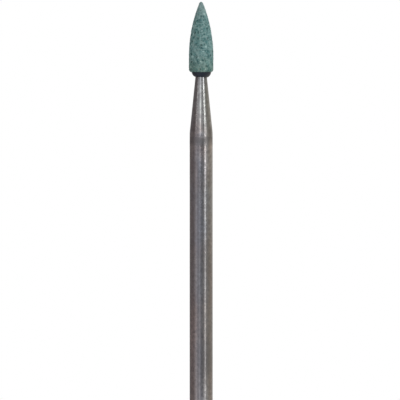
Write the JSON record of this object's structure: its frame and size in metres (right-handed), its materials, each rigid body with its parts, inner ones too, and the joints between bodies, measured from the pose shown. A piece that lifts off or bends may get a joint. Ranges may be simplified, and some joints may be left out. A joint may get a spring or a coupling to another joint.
{
  "type": "mounted point",
  "caption": "Bullet-shaped green abrasive stone cemented on a tapered steel shank, for fine grinding in a straight handpiece chuck.",
  "frame": {"origin": "centre of the shank's back face", "axes": "+Z along the axis of the shank, towards the nose of the stone; the part is round about Z, so +X and +Y are free"},
  "size_m": [0.0024, 0.0024, 0.0445],
  "materials": {
    "steel": "satin",
    "abrasive": "matte",
    "cement": "satin"
  },
  "bodies": {
    "root": {"shank": "steel", "stone": "abrasive", "cement": "cement"}
  },
  "joints": []
}
